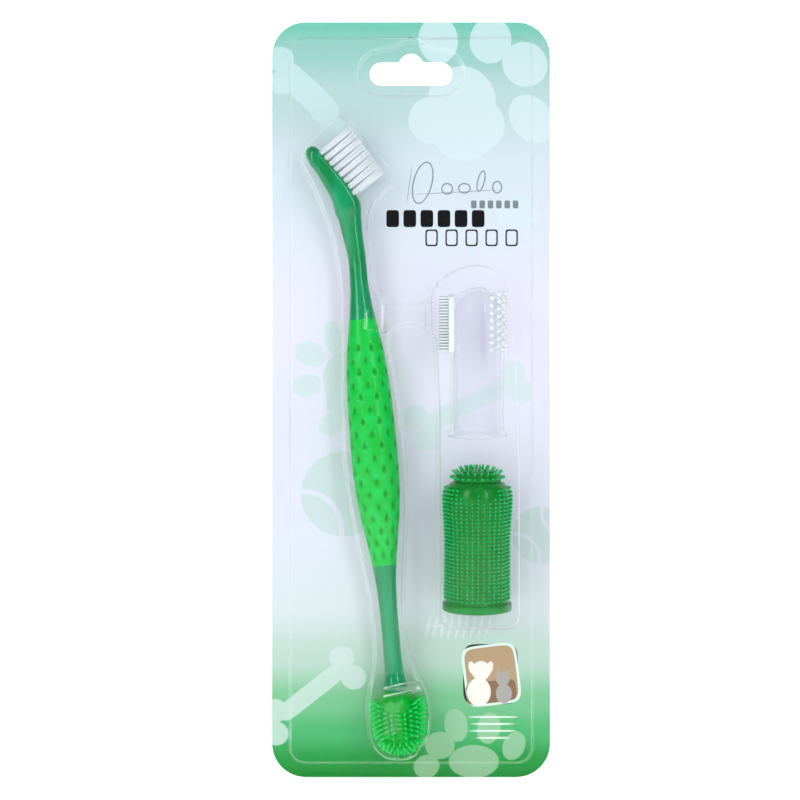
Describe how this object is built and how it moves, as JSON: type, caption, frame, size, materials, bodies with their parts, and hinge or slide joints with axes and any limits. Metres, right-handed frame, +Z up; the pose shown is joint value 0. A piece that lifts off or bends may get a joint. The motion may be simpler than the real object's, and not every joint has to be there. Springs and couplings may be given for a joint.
{
  "type": "carded pet dental brush set",
  "caption": "Hang card with a clear formed blister holding a double-headed pet toothbrush, a clear silicone finger toothbrush and a green all-round one.",
  "frame": {"origin": "where a display peg bears, at the top of the hang slot, in the plane of the card's back face", "axes": "+Z up along the card, +X to the right across it as seen from the front, +Y out of its back; the blister stands out towards -Y"},
  "size_m": [0.1, 0.031, 0.2715],
  "materials": {
    "printed_board": "satin print, one side",
    "clear_sheet": "clear thermoformed sheet",
    "translucent_green_plastic": "translucent moulded",
    "green_soft_rubber": "satin",
    "white_nylon": "filament",
    "brass_wire": "drawn",
    "clear_silicone": "translucent moulded silicone",
    "green_silicone": "glossy moulded silicone"
  },
  "bodies": {
    "card": {"backing_card": "printed_board"},
    "blister": {"blister_shell": "clear_sheet"},
    "double_headed_brush": {"handle_core": "translucent_green_plastic", "soft_grip": "green_soft_rubber", "bristle_tufts": "white_nylon", "tuft_anchors": "brass_wire", "scrubber_head": "green_soft_rubber"},
    "clear_finger": {"clear_finger_brush": "clear_silicone"},
    "green_finger": {"green_finger_brush": "green_silicone"}
  },
  "joints": [
    {"name": "blister_pull", "type": "slide", "parent": "card", "child": "blister", "axis": [0, -1, 0], "range_m": [0, 0.09]},
    {"name": "brush_out", "type": "slide", "parent": "card", "child": "double_headed_brush", "axis": [0, -1, 0], "range_m": [0, 0.036]},
    {"name": "clear_finger_out", "type": "slide", "parent": "card", "child": "clear_finger", "axis": [0, -1, 0], "range_m": [0, 0.036]},
    {"name": "green_finger_out", "type": "slide", "parent": "card", "child": "green_finger", "axis": [0, -1, 0], "range_m": [0, 0.036]}
  ],
  "couplings": [
    {"joint": "brush_out", "follows": "blister_pull", "ratio": 0.4},
    {"joint": "clear_finger_out", "follows": "blister_pull", "ratio": 0.4},
    {"joint": "green_finger_out", "follows": "blister_pull", "ratio": 0.4}
  ]
}
